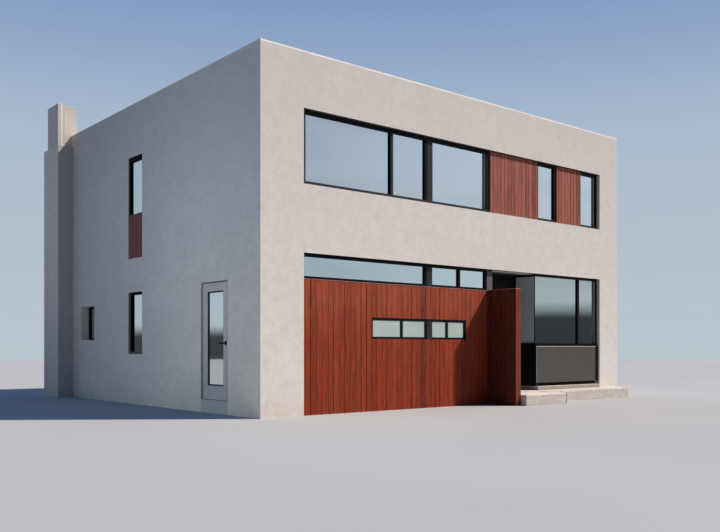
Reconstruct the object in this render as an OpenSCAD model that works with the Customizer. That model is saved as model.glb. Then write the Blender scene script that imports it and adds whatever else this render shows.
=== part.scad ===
// Detached two-storey house with a flat roof behind a parapet.
// Rendered walls, a full-width ribbon window above, a recessed timber front
// below with a projecting timber fin, an open porch and a glazed corner bay,
// a part-glazed side door, slot windows and a chimney on the left flank.
// All lengths in millimetres. X runs along the front, Y from front to back, Z up.

/* [House body] */
// Width of the front
house_w = 10040; // [10000:10:10100]
// Depth of the house, front face to back face
house_d = 9300; // [9250:10:9400]
// Height to the top of the parapet coping
house_h = 6000; // [5980:10:6060]
// Thickness of the outer walls
wall_t = 350; // [300:10:380]
// Thickness of the coping on the parapet
coping_t = 28; // [20:1:40]
// How far the base runs down below the foot of the near front corner
base_drop = 120; // [0:10:150]

/* [Floors and roof] */
// Top of the ground floor above the foot of the near front corner
ground_floor_z = 112; // [100:2:112]
// Underside of the upper floor
upper_floor_z = 2700; // [2690:5:2740]
// Thickness of the upper floor
upper_floor_t = 250; // [200:10:300]
// Underside of the roof slab
roof_z = 5350; // [5300:10:5400]
// Thickness of the roof slab
roof_t = 230; // [200:10:260]

/* [Front openings] */
// Left jamb of both front openings
open_x0 = 864; // [860:1:870]
// Right jamb of both front openings
open_x1 = 9334; // [9330:1:9340]
// Sill of the ribbon window
ribbon_z0 = 3775; // [3760:1:3790]
// Head of the ribbon window
ribbon_z1 = 5042; // [5030:1:5060]
// Head of the lower opening
lower_head_z = 2619; // [2610:1:2630]
// Setback of frames and boards from the wall face
recess = 80; // [70:5:90]
// Depth of the window frames
frame_d = 100; // [90:5:110]
// Thickness of a sealed glass unit
glass_t = 24; // [20:1:28]

/* [Timber front] */
// Top of the timber wall under the clerestory
timber_z1 = 2195; // [2190:1:2200]
// Thickness of the boards laid over the timber core
board_t = 22; // [18:1:25]
// Left face of the timber fin
fin_x0 = 5520; // [5515:1:5525]
// Thickness of the timber fin
fin_t = 165; // [155:5:175]
// How far the fin stands in front of the house
fin_out = 660; // [600:10:700]

/* [Bay and porch] */
// Left side of the glazed bay
bay_x0 = 7070; // [7065:1:7080]
// Back of the porch recess
porch_back_y = 700; // [690:5:720]
// Underside of the bay glass
bay_sill_z = 1127; // [1120:1:1135]
// Top of the bay front panel
bay_panel_z1 = 1069; // [1065:1:1075]
// Underside of the bay front panel
bay_panel_z0 = 270; // [260:5:280]
// Top of the bay plinth
plinth_h = 197; // [190:1:205]
// Top of the entrance step
step_h = 90; // [80:1:100]
// Depth of the entrance step in front of the house
step_out = 800; // [760:10:850]
// Top of the ledge that runs on to the right of the step
ledge_h = 112; // [105:1:112]
// Depth of the ledge in front of the house
ledge_out = 400; // [380:10:420]

/* [Side door] */
// Near jamb of the side door opening
door_y0 = 1010; // [1000:5:1020]
// Far jamb of the side door opening
door_y1 = 1935; // [1925:5:1945]
// Head of the side door opening
door_head_z = 2185; // [2180:1:2190]
// Thickness of the door leaf
leaf_t = 46; // [44:1:50]
// Setback of the leaf from the wall face
leaf_in = 30; // [25:1:35]

/* [Chimney] */
// How far the chimney breast stands out of the left wall
breast_out = 348; // [340:1:360]
// Front of the chimney breast
breast_y0 = 7988; // [7980:1:7995]
// Back of the chimney breast
breast_y1 = 8914; // [8900:1:8920]
// Shoulder height of the chimney breast
breast_h = 5720; // [5700:10:5740]
// Top of the chimney stack
stack_h = 6690; // [6600:10:6800]

/* [Hidden] */

$fn = 48;
e = 1;                                   // overshoot of a cut
wall_top = house_h - coping_t;
x_in0 = wall_t;
x_in1 = house_w - wall_t;
y_in0 = wall_t;
y_in1 = house_d - wall_t;
fin_x1 = fin_x0 + fin_t;
glass_y = recess + 36;                   // front of the glass in the front frames
gz = -base_drop;                         // underside of the walls, the slab and the step
// middle of the plan, chimney and step included
cx = (house_w - breast_out) / 2;
cy = (house_d - step_out) / 2;

// front ribbon: panes and timber panels, left to right [x0, x1]
ribbon_panes = [[954, 2872], [2945, 3758], [3960, 5452], [7173, 7716], [8710, 9216]];
ribbon_panels = [[5594, 7123], [7792, 8669]];
ribbon_g0 = ribbon_z0 + 65;
ribbon_g1 = ribbon_z1 - 63;
// clerestory over the timber wall
clere_panes = [[914, 3759], [3952, 4683], [4734, 5467]];
clere_g0 = timber_z1 + 38;
clere_g1 = lower_head_z - 47;
// strip window in the timber wall
strip_x0 = 2430; strip_x1 = 4900;
strip_z0 = 1187; strip_z1 = 1573;
strip_panes = [[2457, 3135], [3194, 3760], [3955, 4330], [4393, 4832]];
strip_g0 = 1221; strip_g1 = 1529;
// bay
bay_y = 76;                              // front of the bay frame
bay_glass_y = 110;                       // front of the bay glass
bay_glass_x = bay_x0 + 35;               // outer face of the glass beside the porch
bay_panes_x = [[bay_x0, 8590], [8648, 9250]];
bay_sheet_y = 45;                        // front of the panel under the glass
bay_sheet_x1 = 9241;                     // right end of that panel
bay_w = 70;                              // depth of the frame beside the porch
// windows of the two flanks: [y0, y1, z0, z1]
slot_y0 = 4308; slot_y1 = 4960;
slot_up = [slot_y0, slot_y1, 2850, 4925];
slot_panel_z = 3720;                     // top of the timber panel in the upper slot
slot_low = [slot_y0, slot_y1, 900, 2160];
small_win = [6725, 7490, 1200, 1957];
side_holes = [slot_up, slot_low, small_win];
slot_in = 12;                            // setback of the slot frames
// widths of a flank frame: [near stile, far stile, sill, head]
up_w = [25, 45, 30, 88];
low_w = [25, 90, 45, 52];
small_w = [40, 40, 40, 40];
small_in = 180;                          // setback of the small window
sf_d = 120;                              // depth of the slot frames
// windows of the back: [x0, x1, z0, z1]
back_holes = [[1260, 4460, ribbon_z0, ribbon_z1], [5580, 8780, ribbon_z0, ribbon_z1],
  [1260, 4460, 1352, lower_head_z], [5580, 8780, 1352, lower_head_z]];
// side door
gap = 7;                                 // clearance round the leaf
frame_w = 22;                            // stile of the door frame
leaf_y0 = door_y0 + frame_w + gap;
leaf_y1 = door_y1 - frame_w - gap;
thresh_h = ground_floor_z;
leaf_z0 = thresh_h + gap;
leaf_z1 = door_head_z - frame_w - gap;
leaf_x0 = leaf_in;
leaf_x1 = leaf_in + leaf_t;
dglass_y0 = 1201; dglass_y1 = 1745;
dglass_z0 = 360; dglass_z1 = 2015;
lever_y = 1120; lever_z = 1105;
// hinges of the side door: knuckles on the inner face of its far stile
hinge_x = leaf_x1 + 8; hinge_y = leaf_y1; hinge_r = 6;
hinge_z = [330, 1138, 1946];             // middle of each hinge
hinge_leaf = 20;                         // half the height of the leaf's knuckle
hinge_end = 50;                          // half the height of the whole hinge
// flue
flue = [-255, -65, 8210, 8550];          // x0, x1, y0, y1
flue_z0 = 700;

module placed() { translate([-cx, -cy, base_drop]) children(); }
// a block given by its two corners
module block(x0, x1, y0, y1, z0, z1) {
  translate([x0, y0, z0]) cube([x1 - x0, y1 - y0, z1 - z0]);
}

module front_wall() color("#d6cdc6") placed() difference() {
  block(0, house_w, 0, wall_t, gz, wall_top);
  block(open_x0, open_x1, -e, wall_t + e, ribbon_z0, ribbon_z1);
  block(open_x0, open_x1, -e, wall_t + e, gz - e, lower_head_z);
}
module left_wall_front() color("#d6cdc6") placed()
  block(0, wall_t, wall_t, door_y0, gz, wall_top);
module left_wall_over_door() color("#d6cdc6") placed()
  block(0, wall_t, door_y0, door_y1, door_head_z, wall_top);
module left_wall_rear() color("#d6cdc6") placed() difference() {
  block(0, wall_t, door_y1, y_in1, gz, wall_top);
  for (h = side_holes) block(-e, wall_t + e, h[0], h[1], h[2], h[3]);
}
module right_wall() color("#d6cdc6") placed() difference() {
  block(x_in1, house_w, wall_t, y_in1, gz, wall_top);
  for (h = side_holes) block(x_in1 - e, house_w + e, h[0], h[1], h[2], h[3]);
}
module back_wall() color("#d6cdc6") placed() difference() {
  block(0, house_w, y_in1, house_d, gz, wall_top);
  for (h = back_holes) block(h[0], h[1], y_in1 - e, house_d + e, h[2], h[3]);
}

module ground_floor_slab() color("#b9b4ad") placed()
  block(x_in0, x_in1, y_in0, y_in1, gz, ground_floor_z);
module upper_floor_slab() color("#b9b4ad") placed()
  block(x_in0, x_in1, y_in0, y_in1, upper_floor_z, upper_floor_z + upper_floor_t);
module roof_slab() color("#b9b4ad") placed()
  block(x_in0, x_in1, y_in0, y_in1, roof_z, roof_z + roof_t);
module roof_covering() color("#6e6f70") placed()
  block(x_in0, x_in1, y_in0, y_in1, roof_z + roof_t, roof_z + roof_t + 40);
module parapet_coping() color("#e2ddd6") placed() difference() {
  block(0, house_w, 0, house_d, wall_top, house_h);
  block(x_in0, x_in1, y_in0, y_in1, wall_top - e, house_h + e);
}

// chimney on the left flank
module chimney_breast() color("#cdc5bd") placed() difference() {
  block(-breast_out, 0, breast_y0, breast_y1, gz, breast_h);
  block(flue[0], flue[1], flue[2], flue[3], flue_z0, breast_h + e);
}
module chimney_stack() color("#d8cebf") placed() difference() {
  union() {
    block(-breast_out, -190, breast_y0, 8654, breast_h, stack_h);
    block(-190 - e, 0, breast_y0 + 100, 8654, breast_h, stack_h);
    block(-e, 130, breast_y0 + 100, 8654, house_h, stack_h);
  }
  block(flue[0], flue[1], flue[2], flue[3], breast_h - e, stack_h + e);
}

// timber front of the ground floor
core_y = recess + board_t;
module timber_wall() color("#8a3a2c") placed() difference() {
  block(open_x0, fin_x0, core_y, wall_t, gz, timber_z1);
  block(strip_x0, strip_x1, core_y - e, wall_t + e, strip_z0, strip_z1);
}
module timber_fin() color("#8a3a2c") placed()
  block(fin_x0 + board_t, fin_x1 - board_t, -fin_out + board_t, recess, gz, timber_z1);

// porch recess beside the fin
module porch_side_wall() color("#6a6868") placed() {
  block(fin_x0, fin_x1, recess, wall_t, gz, lower_head_z);
  block(fin_x0, fin_x1, wall_t, porch_back_y, ground_floor_z, lower_head_z);
}
module porch_back_wall() color("#2a2a2c") placed() difference() {
  block(fin_x0, bay_x0 + 70, porch_back_y, porch_back_y + 150, ground_floor_z, lower_head_z);
  block(5850, 6890, porch_back_y - e, porch_back_y + 150 + e, ground_floor_z - e, 2330);
}
module porch_soffit() color("#3a3a3a") placed()
  block(x_in0, x_in1, wall_t, porch_back_y + 150, lower_head_z, upper_floor_z);
module porch_floor() color("#c8c0b8") placed()
  block(fin_x1, bay_x0, 0, wall_t, gz, ground_floor_z);
module entrance_door() color("#1c1d1f") placed()
  block(5850, 6890, porch_back_y + 40, porch_back_y + 100, ground_floor_z, 2330);

// clerestory
module clerestory_frame() color("#141618") placed() difference() {
  block(open_x0, fin_x0, recess, recess + frame_d, timber_z1, lower_head_z);
  for (p = clere_panes) block(p[0], p[1], recess - e, recess + frame_d + e, clere_g0, clere_g1);
}
module clerestory_glass() color("#a8bcc8") placed()
  for (p = clere_panes) block(p[0], p[1], glass_y, glass_y + glass_t, clere_g0, clere_g1);

// strip window in the timber wall
module strip_window_frame() color("#141618") placed() difference() {
  block(strip_x0, strip_x1, recess + 4, recess + frame_d, strip_z0, strip_z1);
  for (p = strip_panes) block(p[0], p[1], recess, recess + frame_d + e, strip_g0, strip_g1);
}
module strip_window_glass() color("#c4d0c4") placed()
  for (p = strip_panes) block(p[0], p[1], recess + 14, recess + 14 + glass_t, strip_g0, strip_g1);

// glazed bay: the front members and those beside the porch meet at the corner,
// and the glass of the two sides meets there with no post
module bay_window_frame() color("#141618") placed() {
  difference() {
    block(bay_x0, open_x1, bay_y, bay_y + bay_w, bay_panel_z1, lower_head_z);
    for (p = bay_panes_x) block(p[0] - (p[0] == bay_x0 ? e : 0), p[1],
      bay_y - e, bay_y + bay_w + e, bay_sill_z, lower_head_z - 47);
  }
  // sill, head and back post beside the porch
  difference() {
    block(bay_x0, bay_x0 + bay_w, bay_y + bay_w, porch_back_y, bay_panel_z1, lower_head_z);
    block(bay_x0 - e, bay_x0 + bay_w + e, bay_y + bay_w - e, porch_back_y - 65, bay_sill_z, lower_head_z - 47);
  }
  // black end of the base, right of the panel
  block(bay_sheet_x1, open_x1, bay_sheet_y, bay_y + bay_w, plinth_h, bay_panel_z1);
}
module bay_glass() color("#9fb3bd") placed() {
  block(bay_glass_x, 8590, bay_glass_y, bay_glass_y + glass_t, bay_sill_z, lower_head_z - 47);
  block(8648, 9250, bay_glass_y, bay_glass_y + glass_t, bay_sill_z, lower_head_z - 47);
  block(bay_glass_x, bay_glass_x + glass_t, bay_glass_y + glass_t + 2, porch_back_y - 65, bay_sill_z, lower_head_z - 47);
}
// the panel's sheet stands in front of its core, over a recessed foot
module bay_front_panel() color("#57524d") placed() {
  block(bay_x0, bay_sheet_x1, bay_sheet_y, bay_sheet_y + 12, bay_panel_z0, bay_panel_z1);
  block(bay_x0 + bay_w, bay_sheet_x1, bay_sheet_y + 12, wall_t - 100, bay_panel_z0, bay_panel_z1);
  block(bay_x0 + bay_w, bay_sheet_x1, bay_sheet_y + 45, wall_t - 100, plinth_h, bay_panel_z0);
}
module bay_side_panel() color("#121214") placed()
  block(bay_x0, bay_x0 + bay_w, bay_sheet_y + 12, porch_back_y, plinth_h, bay_panel_z1);
module bay_plinth() color("#cbc2ba") placed() {
  block(bay_x0, open_x1, 0, wall_t, gz, plinth_h);
  block(bay_x0, bay_x0 + bay_w, wall_t, porch_back_y, ground_floor_z, plinth_h);
}
module entrance_step() color("#cfc6be") placed() {
  block(fin_x1, 7026, -step_out, 0, gz, step_h);
  block(7036, 9890, -ledge_out, 0, gz, ledge_h);
}

// ribbon window across the upper floor
module ribbon_window_frame() color("#141618") placed() difference() {
  block(open_x0, open_x1, recess, recess + frame_d, ribbon_z0, ribbon_z1);
  for (p = ribbon_panes) block(p[0], p[1], recess - e, recess + frame_d + e, ribbon_g0, ribbon_g1);
  for (p = ribbon_panels) block(p[0], p[1], recess - e, recess + frame_d + e, ribbon_z0 - e, ribbon_z1 + e);
}
module ribbon_window_glass() color("#a8bcc8") placed()
  for (p = ribbon_panes) block(p[0], p[1], glass_y, glass_y + glass_t, ribbon_g0, ribbon_g1);
module ribbon_timber_panels() color("#93422f") placed()
  for (p = ribbon_panels) block(p[0], p[1], core_y, wall_t - 50, ribbon_z0, ribbon_z1);

// flank windows, left flank and its repeat on the right flank
module on_both_flanks() { children(); translate([house_w, 0, 0]) mirror([1, 0, 0]) children(); }
module flank_frame(h, z0, x0, d, w) difference() {
  block(x0, x0 + d, h[0], h[1], z0, h[3]);
  block(x0 - e, x0 + d + e, h[0] + w[0], h[1] - w[1], z0 + w[2], h[3] - w[3]);
}
module flank_glass(h, z0, x, w)
  block(x, x + glass_t, h[0] + w[0], h[1] - w[1], z0 + w[2], h[3] - w[3]);
module side_window_frames() color("#141618") placed() on_both_flanks() {
  flank_frame(slot_up, slot_panel_z, slot_in, sf_d, up_w);
  flank_frame(slot_low, slot_low[2], slot_in, sf_d, low_w);
  flank_frame(small_win, small_win[2], small_in, 70, small_w);
}
module side_window_glass() color("#8b989f") placed() on_both_flanks() {
  flank_glass(slot_up, slot_panel_z, slot_in + 42, up_w);
  flank_glass(slot_low, slot_low[2], slot_in + 42, low_w);
  flank_glass(small_win, small_win[2], small_in + 30, small_w);
}
module side_slot_panels() color("#5b2620") placed() on_both_flanks()
  block(board_t + 8, 250, slot_up[0], slot_up[1], slot_up[2], slot_panel_z);

// windows of the back, a plain repeat of the front's storeys
module back_window_frames() color("#141618") placed() for (h = back_holes) difference() {
  block(h[0], h[1], house_d - recess - frame_d, house_d - recess, h[2], h[3]);
  block(h[0] + 65, (h[0] + h[1]) / 2 - 32, house_d - recess - frame_d - e, house_d - recess + e, h[2] + 65, h[3] - 63);
  block((h[0] + h[1]) / 2 + 32, h[1] - 65, house_d - recess - frame_d - e, house_d - recess + e, h[2] + 65, h[3] - 63);
}
module back_window_glass() color("#a8bcc8") placed() for (h = back_holes) {
  block(h[0] + 65, (h[0] + h[1]) / 2 - 32, house_d - glass_y - glass_t, house_d - glass_y, h[2] + 65, h[3] - 63);
  block((h[0] + h[1]) / 2 + 32, h[1] - 65, house_d - glass_y - glass_t, house_d - glass_y, h[2] + 65, h[3] - 63);
}

// side door, hinged on its far stile and opening inwards
module side_door_threshold() color("#a9a6a3") placed()
  block(0, wall_t, door_y0, door_y1, gz, thresh_h);
module side_door_frame() color("#2a2b2d") placed() {
  difference() {
    block(leaf_x0 - 2, leaf_x1 + 40, door_y0, door_y1, thresh_h, door_head_z);
    block(leaf_x0 - 3, leaf_x1 + 41, door_y0 + frame_w, door_y1 - frame_w, thresh_h - e, door_head_z - frame_w);
  }
  // outer knuckles of each hinge, on plates let into the frame
  for (z = hinge_z) for (d = [-hinge_end, hinge_leaf + 1]) {
    translate([hinge_x, hinge_y, z + d]) cylinder(r = hinge_r, h = hinge_end - hinge_leaf - 1);
    block(hinge_x - 2, hinge_x + 2, hinge_y + 3, door_y1 - frame_w + 1, z + d, z + d + hinge_end - hinge_leaf - 1);
  }
}
module side_door_leaf() color("#a9a6a3") placed() {
  difference() {
    union() {
      block(leaf_x0, leaf_x1, leaf_y0, leaf_y1, leaf_z0, leaf_z1);
      translate([leaf_x0 - 8, lever_y, lever_z]) rotate([0, 90, 0]) cylinder(r = 26, h = leaf_t + 16);
    }
    block(leaf_x0 - e, leaf_x1 + e, dglass_y0, dglass_y1, dglass_z0, dglass_z1);
    translate([leaf_x0 - 9, lever_y, lever_z]) rotate([0, 90, 0]) cylinder(r = 14, h = leaf_t + 18);
  }
  // middle knuckle of each hinge
  for (z = hinge_z) {
    translate([hinge_x, hinge_y, z - hinge_leaf]) cylinder(r = hinge_r, h = 2 * hinge_leaf);
    block(leaf_x1 - 1, hinge_x, hinge_y - 5, hinge_y - 1, z - hinge_leaf, z + hinge_leaf);
  }
}
module side_door_glass() color("#8b989f") placed()
  block(leaf_x1 - glass_t, leaf_x1, dglass_y0, dglass_y1, dglass_z0, dglass_z1);
// lever handle on both faces, joined by the spindle through the leaf
module side_door_lever() color("#111214") placed() translate([0, lever_y, lever_z]) {
  translate([leaf_x0 - 52, 0, 0]) rotate([0, 90, 0]) cylinder(r = 9, h = leaf_t + 104);
  for (x = [leaf_x0 - 62, leaf_x1 + 44])
    translate([x, -12, -10]) cube([18, 140, 20]);
}

front_wall();
left_wall_front();
left_wall_over_door();
left_wall_rear();
right_wall();
back_wall();
ground_floor_slab();
upper_floor_slab();
roof_slab();
roof_covering();
parapet_coping();
chimney_breast();
chimney_stack();
timber_wall();
timber_fin();
porch_side_wall();
porch_back_wall();
porch_soffit();
porch_floor();
entrance_door();
clerestory_frame();
clerestory_glass();
strip_window_frame();
strip_window_glass();
bay_window_frame();
bay_glass();
bay_front_panel();
bay_side_panel();
bay_plinth();
entrance_step();
ribbon_window_frame();
ribbon_window_glass();
ribbon_timber_panels();
side_window_frames();
side_window_glass();
side_slot_panels();
back_window_frames();
back_window_glass();
side_door_threshold();
side_door_frame();
side_door_leaf();
side_door_glass();
side_door_lever();
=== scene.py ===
import bpy
import bmesh
import math
import random
from mathutils import Matrix, Vector


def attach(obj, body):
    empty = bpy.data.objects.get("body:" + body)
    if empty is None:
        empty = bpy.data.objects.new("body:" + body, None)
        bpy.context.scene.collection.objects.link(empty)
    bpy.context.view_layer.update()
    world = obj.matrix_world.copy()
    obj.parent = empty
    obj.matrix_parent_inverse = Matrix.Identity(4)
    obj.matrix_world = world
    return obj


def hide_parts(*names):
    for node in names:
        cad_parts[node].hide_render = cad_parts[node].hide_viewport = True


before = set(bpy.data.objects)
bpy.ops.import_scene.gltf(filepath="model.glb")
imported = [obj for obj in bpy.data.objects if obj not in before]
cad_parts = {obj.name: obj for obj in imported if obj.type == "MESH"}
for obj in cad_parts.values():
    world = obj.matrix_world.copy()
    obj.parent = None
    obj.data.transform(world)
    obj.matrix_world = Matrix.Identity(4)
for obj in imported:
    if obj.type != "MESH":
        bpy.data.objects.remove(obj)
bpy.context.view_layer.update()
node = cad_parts

# House coordinates: near front corner at (0, 0, 0), X along the front, Y back, metres.
# The frame's origin is the middle of the plan at the underside of the walls, so every
# piece is shifted by this.
OX, OY, OZ = 4.846, 4.250, 0.120
BASE = -OZ

# ------------------------------------------------------------------ helpers
rnd = random.Random(7)


def box(bm, x0, x1, y0, y1, z0, z1, tone=0.5):
    """A block from its two corners, in house coordinates."""
    v = [bm.verts.new((x - OX, y - OY, z + OZ)) for x in (x0, x1) for y in (y0, y1) for z in (z0, z1)]
    lay = bm.loops.layers.float_color.get("tone") or bm.loops.layers.float_color.new("tone")
    quads = [(0, 1, 3, 2), (4, 6, 7, 5), (0, 4, 5, 1), (2, 3, 7, 6), (0, 2, 6, 4), (1, 5, 7, 3)]
    for q in quads:
        f = bm.faces.new([v[i] for i in q])
        for lp in f.loops:
            lp[lay] = (tone, tone, tone, 1.0)
    return v


def tube(bm, p, q, r, sides=16, tone=0.5):
    """A round bar from p to q, in house coordinates."""
    a = Vector((p[0] - OX, p[1] - OY, p[2] + OZ))
    b = Vector((q[0] - OX, q[1] - OY, q[2] + OZ))
    axis = (b - a)
    rot = axis.to_track_quat("Z", "Y").to_matrix().to_4x4()
    made = bmesh.ops.create_cone(bm, cap_ends=True, segments=sides, radius1=r, radius2=r, depth=axis.length,
                                 matrix=Matrix.Translation((a + b) / 2) @ rot)
    lay = bm.loops.layers.float_color.get("tone") or bm.loops.layers.float_color.new("tone")
    for f in {f for v in made["verts"] for f in v.link_faces}:
        for lp in f.loops:
            lp[lay] = (tone, tone, tone, 1.0)
    return made["verts"]


def piece(name, bm, mat, body="house", bevel=0.0, seg=2, replaces=(), smooth=False):
    if bevel:
        bmesh.ops.bevel(bm, geom=[e for e in bm.edges if e.calc_face_angle(0) > 0.6], offset=bevel,
                        segments=seg, affect="EDGES", clamp_overlap=True)
    bmesh.ops.recalc_face_normals(bm, faces=bm.faces)
    me = bpy.data.meshes.new(name)
    bm.to_mesh(me)
    bm.free()
    o = bpy.data.objects.new(name, me)
    bpy.context.scene.collection.objects.link(o)
    for m in (mat if isinstance(mat, (list, tuple)) else [mat]):
        me.materials.append(m)
    if smooth:
        for p in me.polygons:
            p.use_smooth = True
    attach(o, body)
    if replaces:
        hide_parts(*replaces)
    return o


class Mat:
    """A node material with a Principled shader and a few shorthands."""

    def __init__(self, name, rough=0.5, metallic=0.0, color=None, spec=None):
        self.m = bpy.data.materials.new(name)
        self.m.use_nodes = True
        self.t = self.m.node_tree
        self.b = self.t.nodes["Principled BSDF"]
        self.b.inputs["Roughness"].default_value = rough
        self.b.inputs["Metallic"].default_value = metallic
        if spec is not None:
            self.b.inputs["Specular IOR Level"].default_value = spec
        if color is not None:
            self.b.inputs["Base Color"].default_value = (*color, 1.0)
        self.co = self.add("ShaderNodeTexCoord").outputs["Object"]

    def add(self, kind, **inputs):
        n = self.t.nodes.new(kind)
        for k, v in inputs.items():
            n.inputs[k.replace("_", " ")].default_value = v
        return n

    def link(self, a, b):
        self.t.links.new(a, b)

    def scaled(self, sx, sy, sz, rot=(0, 0, 0)):
        n = self.add("ShaderNodeMapping")
        n.inputs["Scale"].default_value = (sx, sy, sz)
        n.inputs["Rotation"].default_value = rot
        self.link(self.co, n.inputs["Vector"])
        return n.outputs["Vector"]

    def noise(self, scale, detail=4.0, rough=0.55, vec=None, dist=0.0):
        n = self.add("ShaderNodeTexNoise", Scale=scale, Detail=detail, Roughness=rough, Distortion=dist)
        self.link(vec or self.co, n.inputs["Vector"])
        return n.outputs["Fac"]

    def ramp(self, fac, stops):
        n = self.add("ShaderNodeValToRGB")
        el = n.color_ramp.elements
        while len(el) < len(stops):
            el.new(0.5)
        for e, (p, c) in zip(el, stops):
            e.position = p
            e.color = (*c, 1.0) if len(c) == 3 else c
        self.link(fac, n.inputs["Fac"])
        return n.outputs["Color"]

    def span(self, fac, a, b, c, d, clamp=True):
        n = self.add("ShaderNodeMapRange")
        n.clamp = clamp
        for k, v in (("From Min", a), ("From Max", b), ("To Min", c), ("To Max", d)):
            n.inputs[k].default_value = v
        self.link(fac, n.inputs["Value"])
        return n.outputs["Result"]

    def math(self, op, a, b=None):
        n = self.add("ShaderNodeMath")
        n.operation = op
        for i, v in enumerate((a, b)):
            if v is None:
                continue
            if isinstance(v, (int, float)):
                n.inputs[i].default_value = v
            else:
                self.link(v, n.inputs[i])
        return n.outputs[0]

    def mix(self, fac, a, b, mode="MIX"):
        n = self.add("ShaderNodeMix")
        n.data_type = "RGBA"
        n.blend_type = mode
        n.clamp_factor = True
        for key, v in ((0, fac), (6, a), (7, b)):
            if isinstance(v, (int, float)):
                n.inputs[key].default_value = v
            elif isinstance(v, tuple):
                n.inputs[key].default_value = (*v, 1.0)
            else:
                self.link(v, n.inputs[key])
        return n.outputs[2]

    def height(self, fac, distance, strength=1.0, after=None):
        n = self.add("ShaderNodeBump", Distance=distance, Strength=strength)
        self.link(fac, n.inputs["Height"])
        if after is not None:
            self.link(after, n.inputs["Normal"])
        return n.outputs["Normal"]

    def axis(self, i):
        n = self.add("ShaderNodeSeparateXYZ")
        self.link(self.co, n.inputs[0])
        return n.outputs[i]

    def set(self, color=None, rough=None, normal=None):
        if color is not None:
            self.link(color, self.b.inputs["Base Color"])
        if rough is not None:
            self.link(rough, self.b.inputs["Roughness"])
        if normal is not None:
            self.link(normal, self.b.inputs["Normal"])
        return self.m


# ------------------------------------------------------------------ materials
def render_coat(name, base, cloud=0.05, front_face_painted_shade=None, shade=None):
    """Fine mineral render: soft clouding, trowel mottling, grain, light weathering, and painted shade: darker towards
    the parapet and, where asked, on the left face and on a face towards the front.
    """
    m = Mat(name, rough=0.93, spec=0.2)
    lo = (base[0] * (1 - cloud), base[1] * (1 - cloud * 0.9), base[2] * (1 - cloud * 0.7))
    hi = tuple(min(1.0, c * (1 + cloud)) for c in base)
    col = m.ramp(m.noise(0.9, 4.0, 0.55), [(0.32, lo), (0.68, hi)])
    # trowel patches
    mott = m.noise(1.0, 6.0, 0.66, vec=m.scaled(4.8, 2.7, 5.4), dist=0.3)
    col = m.mix(m.span(mott, 0.36, 0.66, 0.0, 0.70), col, (base[0] * 0.865, base[1] * 0.865, base[2] * 0.87))
    grain = m.noise(1.0, 3.0, 0.7, vec=m.scaled(60.0, 34.0, 66.0))
    fine = m.span(grain, 0.38, 0.62, 0.0, 0.55)
    if shade is not None:
        # the left face is smoother
        fine = m.math("MULTIPLY", fine, m.span(m.axis(0), shade[0] - OX, shade[0] + 0.004 - OX, 0.55, 1.0))
    col = m.mix(fine, col, tuple(min(1.0, c * 1.15) for c in base))
    fleck = m.noise(1.0, 3.0, 0.60, vec=m.scaled(8.0, 4.6, 9.0))
    col = m.mix(m.span(fleck, 0.46, 0.68, 0.0, 0.38), col, (base[0] * 0.82, base[1] * 0.81, base[2] * 0.81))
    pit = m.noise(1.0, 2.0, 0.5, vec=m.scaled(28.0, 16.0, 30.0))
    col = m.mix(m.span(pit, 0.56, 0.72, 0.0, 0.34), col, tuple(c * 0.76 for c in base))
    # the coat is painted a little darker towards the parapet, as painted shade, with faint rain streaks below the
    # coping
    z = m.axis(2)
    col = m.mix(m.span(z, 0.9, 6.1, 0.0, 0.36), col, tuple(c * 0.62 for c in base))
    streak = m.noise(1.0, 5.0, 0.6, vec=m.scaled(5.5, 5.5, 0.22))
    top = m.math("MULTIPLY", m.span(z, 4.9, 6.1, 0.0, 1.0), m.span(streak, 0.48, 0.75, 0.0, 0.20))
    col = m.mix(top, col, tuple(c * 0.74 for c in base))
    foot = m.math("MULTIPLY", m.span(z, 0.42, 0.0, 0.0, 1.0), m.span(m.noise(3.0, 5.0, 0.65), 0.35, 0.7, 0.05, 0.42))
    col = m.mix(foot, col, (base[0] * 0.66, base[1] * 0.61, base[2] * 0.54))
    if front_face_painted_shade:
        # painted shade: the face towards the front, which lies in shade, is painted a tone darker and cooler
        col = m.mix(m.span(m.axis(1), front_face_painted_shade[0] - OY, front_face_painted_shade[0] + 0.004 - OY, front_face_painted_shade[1], 0.0), col, (base[0] * 0.28, base[1] * 0.30, base[2] * 0.36))
    if shade is not None:
        # painted light and shade: the left face is tinted by height, cooler and darker towards the top
        at, tints = shade
        left_face_shade_tint = m.ramp(m.span(m.axis(2), 0.0, 6.0, 0.0, 1.0), [(k / 6.0, c) for k, c in tints])
        col = m.mix(m.span(m.axis(0), at - OX, at + 0.004 - OX, 1.0, 0.0), col, m.mix(1.0, col, left_face_shade_tint, "MULTIPLY"))
    n1 = m.height(grain, 0.0035, 0.55)
    n2 = m.height(mott, 0.010, 0.35, after=n1)
    return m.set(color=col, normal=n2)


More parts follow.
